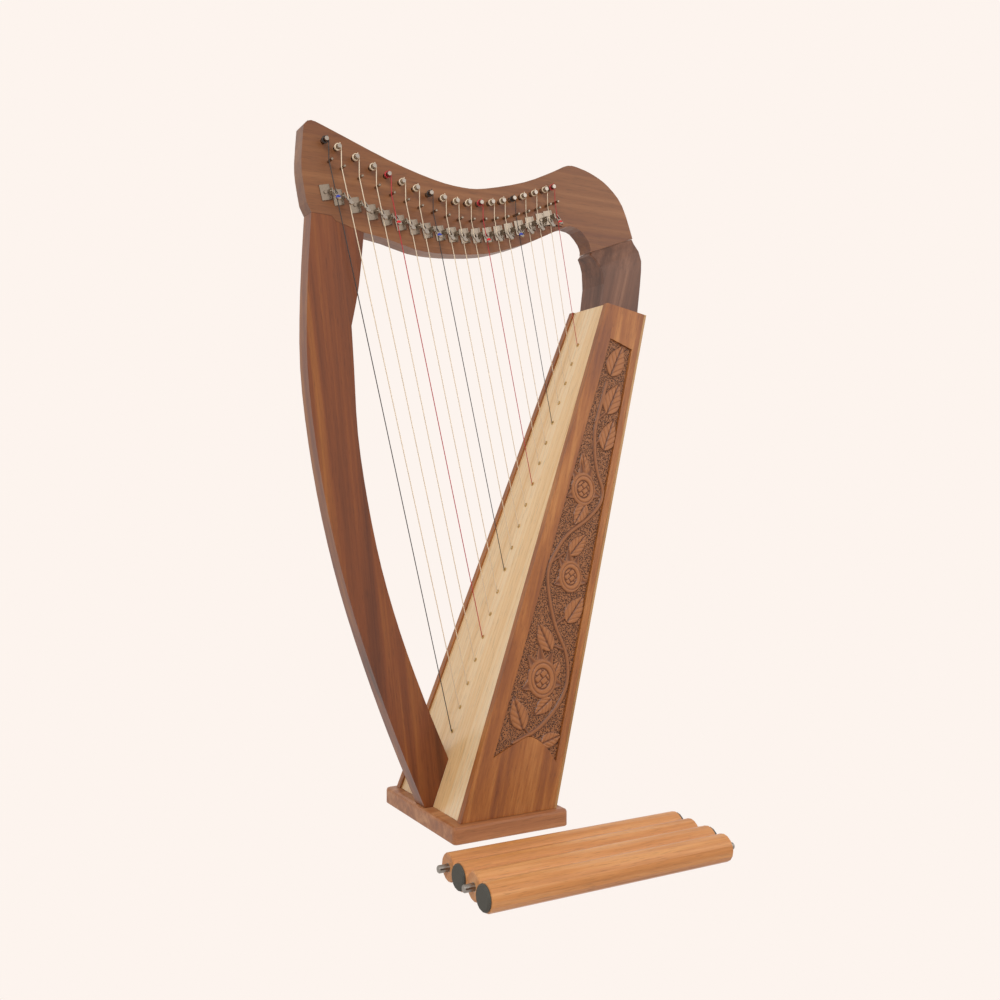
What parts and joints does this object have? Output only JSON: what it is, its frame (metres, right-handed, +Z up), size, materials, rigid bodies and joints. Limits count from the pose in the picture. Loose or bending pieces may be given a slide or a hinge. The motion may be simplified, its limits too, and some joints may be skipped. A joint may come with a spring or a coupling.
{
  "type": "lever harp",
  "caption": "Small wooden lap harp with tuning pins, sharping levers, carved soundbox sides and screw-in legs laid beside it",
  "frame": {"origin": "centre of the base board's underside, on the floor", "axes": "+X from the pillar towards the player, +Y away from the side that carries the strings, +Z up"},
  "size_m": [0.4516, 0.3832, 0.792],
  "materials": {
    "hardwood": "satin lacquer",
    "base_wood": "satin lacquer",
    "leg_wood": "satin lacquer",
    "soundboard": "gloss lacquer",
    "ply": "satin lacquer",
    "steel": "nickel plated",
    "nylon": "drawn nylon",
    "rubber": "matte"
  },
  "bodies": {
    "frame": {"base": "base_wood", "bottom_block": "hardwood", "top_block": "hardwood", "side_panel_left": "hardwood", "side_panel_right": "hardwood", "soundboard": "soundboard", "back_panel": "ply", "shoulder_block": "hardwood", "neck": "hardwood", "pillar": "hardwood", "strings": "nylon"},
    "pin_01": {"tuning_pin_01": "steel"},
    "lever_arm_01": {"lever_01": "steel"},
    "pin_02": {"tuning_pin_02": "steel"},
    "lever_arm_02": {"lever_02": "steel"},
    "pin_03": {"tuning_pin_03": "steel"},
    "lever_arm_03": {"lever_03": "steel"},
    "pin_04": {"tuning_pin_04": "steel"},
    "lever_arm_04": {"lever_04": "steel"},
    "pin_05": {"tuning_pin_05": "steel"},
    "lever_arm_05": {"lever_05": "steel"},
    "pin_06": {"tuning_pin_06": "steel"},
    "lever_arm_06": {"lever_06": "steel"},
    "pin_07": {"tuning_pin_07": "steel"},
    "lever_arm_07": {"lever_07": "steel"},
    "pin_08": {"tuning_pin_08": "steel"},
    "lever_arm_08": {"lever_08": "steel"},
    "pin_09": {"tuning_pin_09": "steel"},
    "lever_arm_09": {"lever_09": "steel"},
    "pin_10": {"tuning_pin_10": "steel"},
    "lever_arm_10": {"lever_10": "steel"},
    "pin_11": {"tuning_pin_11": "steel"},
    "lever_arm_11": {"lever_11": "steel"},
    "pin_12": {"tuning_pin_12": "steel"},
    "lever_arm_12": {"lever_12": "steel"},
    "pin_13": {"tuning_pin_13": "steel"},
    "lever_arm_13": {"lever_13": "steel"},
    "pin_14": {"tuning_pin_14": "steel"},
    "lever_arm_14": {"lever_14": "steel"},
    "pin_15": {"tuning_pin_15": "steel"},
    "lever_arm_15": {"lever_15": "steel"},
    "pin_16": {"tuning_pin_16": "steel"},
    "lever_arm_16": {"lever_16": "steel"},
    "pin_17": {"tuning_pin_17": "steel"},
    "lever_arm_17": {"lever_17": "steel"},
    "pin_18": {"tuning_pin_18": "steel"},
    "lever_arm_18": {"lever_18": "steel"},
    "pin_19": {"tuning_pin_19": "steel"},
    "lever_arm_19": {"lever_19": "steel"},
    "legs": {"leg_dowel_1": "leg_wood", "leg_dowel_2": "leg_wood", "leg_dowel_3": "leg_wood", "leg_dowel_4": "leg_wood", "leg_foot_1": "rubber", "leg_foot_2": "rubber", "leg_foot_3": "rubber", "leg_foot_4": "rubber"}
  },
  "joints": [
    {"name": "tune_01", "type": "hinge", "parent": "frame", "child": "pin_01", "pos_m": [-0.19308, 0, 0.76796], "axis": [0, 1, 0], "continuous": true},
    {"name": "sharpen_01", "type": "hinge", "parent": "frame", "child": "lever_arm_01", "pos_m": [-0.18157, -0.01836, 0.71466], "axis": [-0.9702, 0, -0.2425], "range_deg": [0, 100]},
    {"name": "tune_02", "type": "hinge", "parent": "frame", "child": "pin_02", "pos_m": [-0.17847, 0, 0.7623], "axis": [0, 1, 0], "continuous": true},
    {"name": "sharpen_02", "type": "hinge", "parent": "frame", "child": "lever_arm_02", "pos_m": [-0.16724, -0.01836, 0.71105], "axis": [-0.9686, 0, -0.2485], "range_deg": [0, 100]},
    {"name": "tune_03", "type": "hinge", "parent": "frame", "child": "pin_03", "pos_m": [-0.15765, 0, 0.75438], "axis": [0, 1, 0], "continuous": true},
    {"name": "sharpen_03", "type": "hinge", "parent": "frame", "child": "lever_arm_03", "pos_m": [-0.14701, -0.01837, 0.70533], "axis": [-0.9692, 0, -0.2462], "range_deg": [0, 100]},
    {"name": "tune_04", "type": "hinge", "parent": "frame", "child": "pin_04", "pos_m": [-0.13717, 0, 0.74699], "axis": [0, 1, 0], "continuous": true},
    {"name": "sharpen_04", "type": "hinge", "parent": "frame", "child": "lever_arm_04", "pos_m": [-0.1271, -0.01839, 0.70009], "axis": [-0.9699, 0, -0.2437], "range_deg": [0, 100]},
    {"name": "tune_05", "type": "hinge", "parent": "frame", "child": "pin_05", "pos_m": [-0.11923, 0, 0.74095], "axis": [0, 1, 0], "continuous": true},
    {"name": "sharpen_05", "type": "hinge", "parent": "frame", "child": "lever_arm_05", "pos_m": [-0.10961, -0.0184, 0.6961], "axis": [-0.9696, 0, -0.2446], "range_deg": [0, 100]},
    {"name": "tune_06", "type": "hinge", "parent": "frame", "child": "pin_06", "pos_m": [-0.10163, 0, 0.73543], "axis": [0, 1, 0], "continuous": true},
    {"name": "sharpen_06", "type": "hinge", "parent": "frame", "child": "lever_arm_06", "pos_m": [-0.09245, -0.01841, 0.69261], "axis": [-0.9693, 0, -0.2459], "range_deg": [0, 100]},
    {"name": "tune_07", "type": "hinge", "parent": "frame", "child": "pin_07", "pos_m": [-0.08428, 0, 0.73083], "axis": [0, 1, 0], "continuous": true},
    {"name": "sharpen_07", "type": "hinge", "parent": "frame", "child": "lever_arm_07", "pos_m": [-0.07553, -0.01843, 0.68997], "axis": [-0.969, 0, -0.2472], "range_deg": [0, 100]},
    {"name": "tune_08", "type": "hinge", "parent": "frame", "child": "pin_08", "pos_m": [-0.0671, 0, 0.72708], "axis": [0, 1, 0], "continuous": true},
    {"name": "sharpen_08", "type": "hinge", "parent": "frame", "child": "lever_arm_08", "pos_m": [-0.05877, -0.01844, 0.68813], "axis": [-0.9687, 0, -0.2483], "range_deg": [0, 100]},
    {"name": "tune_09", "type": "hinge", "parent": "frame", "child": "pin_09", "pos_m": [-0.05018, 0, 0.72424], "axis": [0, 1, 0], "continuous": true},
    {"name": "sharpen_09", "type": "hinge", "parent": "frame", "child": "lever_arm_09", "pos_m": [-0.04225, -0.01846, 0.68713], "axis": [-0.9684, 0, -0.2494], "range_deg": [0, 100]},
    {"name": "tune_10", "type": "hinge", "parent": "frame", "child": "pin_10", "pos_m": [-0.03365, 0, 0.72286], "axis": [0, 1, 0], "continuous": true},
    {"name": "sharpen_10", "type": "hinge", "parent": "frame", "child": "lever_arm_10", "pos_m": [-0.02609, -0.01848, 0.6874], "axis": [-0.9681, 0, -0.2505], "range_deg": [0, 100]},
    {"name": "tune_11", "type": "hinge", "parent": "frame", "child": "pin_11", "pos_m": [-0.01757, 0, 0.72329], "axis": [0, 1, 0], "continuous": true},
    {"name": "sharpen_11", "type": "hinge", "parent": "frame", "child": "lever_arm_11", "pos_m": [-0.01001, -0.01841, 0.68806], "axis": [-0.9679, 0, -0.2514], "range_deg": [0, 100]},
    {"name": "tune_12", "type": "hinge", "parent": "frame", "child": "pin_12", "pos_m": [-0.00189, 0, 0.72518], "axis": [0, 1, 0], "continuous": true},
    {"name": "sharpen_12", "type": "hinge", "parent": "frame", "child": "lever_arm_12", "pos_m": [0.00567, -0.01833, 0.69018], "axis": [-0.9677, 0, -0.2521], "range_deg": [0, 100]},
    {"name": "tune_13", "type": "hinge", "parent": "frame", "child": "pin_13", "pos_m": [0.01339, 0, 0.72799], "axis": [0, 1, 0], "continuous": true},
    {"name": "sharpen_13", "type": "hinge", "parent": "frame", "child": "lever_arm_13", "pos_m": [0.02095, -0.01825, 0.69322], "axis": [-0.9674, 0, -0.2532], "range_deg": [0, 100]},
    {"name": "tune_14", "type": "hinge", "parent": "frame", "child": "pin_14", "pos_m": [0.02821, 0, 0.73174], "axis": [0, 1, 0], "continuous": true},
    {"name": "sharpen_14", "type": "hinge", "parent": "frame", "child": "lever_arm_14", "pos_m": [0.03579, -0.01816, 0.6972], "axis": [-0.967, 0, -0.2548], "range_deg": [0, 100]},
    {"name": "tune_15", "type": "hinge", "parent": "frame", "child": "pin_15", "pos_m": [0.04264, 0, 0.7364], "axis": [0, 1, 0], "continuous": true},
    {"name": "sharpen_15", "type": "hinge", "parent": "frame", "child": "lever_arm_15", "pos_m": [0.05023, -0.01805, 0.70211], "axis": [-0.9664, 0, -0.2569], "range_deg": [0, 100]},
    {"name": "tune_16", "type": "hinge", "parent": "frame", "child": "pin_16", "pos_m": [0.05684, 0, 0.74143], "axis": [0, 1, 0], "continuous": true},
    {"name": "sharpen_16", "type": "hinge", "parent": "frame", "child": "lever_arm_16", "pos_m": [0.06445, -0.01794, 0.70737], "axis": [-0.9658, 0, -0.2594], "range_deg": [0, 100]},
    {"name": "tune_17", "type": "hinge", "parent": "frame", "child": "pin_17", "pos_m": [0.07232, 0, 0.74737], "axis": [0, 1, 0], "continuous": true},
    {"name": "sharpen_17", "type": "hinge", "parent": "frame", "child": "lever_arm_17", "pos_m": [0.07985, -0.0178, 0.71354], "axis": [-0.9668, 0, -0.2554], "range_deg": [0, 100]},
    {"name": "tune_18", "type": "hinge", "parent": "frame", "child": "pin_18", "pos_m": [0.08756, 0, 0.75368], "axis": [0, 1, 0], "continuous": true},
    {"name": "sharpen_18", "type": "hinge", "parent": "frame", "child": "lever_arm_18", "pos_m": [0.095, -0.01765, 0.72006], "axis": [-0.9681, 0, -0.2506], "range_deg": [0, 100]},
    {"name": "tune_19", "type": "hinge", "parent": "frame", "child": "pin_19", "pos_m": [0.09821, 0, 0.75806], "axis": [0, 1, 0], "continuous": true},
    {"name": "sharpen_19", "type": "hinge", "parent": "frame", "child": "lever_arm_19", "pos_m": [0.10597, -0.01746, 0.72477], "axis": [-0.9625, 0, -0.2713], "range_deg": [0, 100]},
    {"name": "legs_lift", "type": "slide", "parent": "frame", "child": "legs", "axis": [0, 0, 1], "range_m": [0, 0.25]}
  ]
}
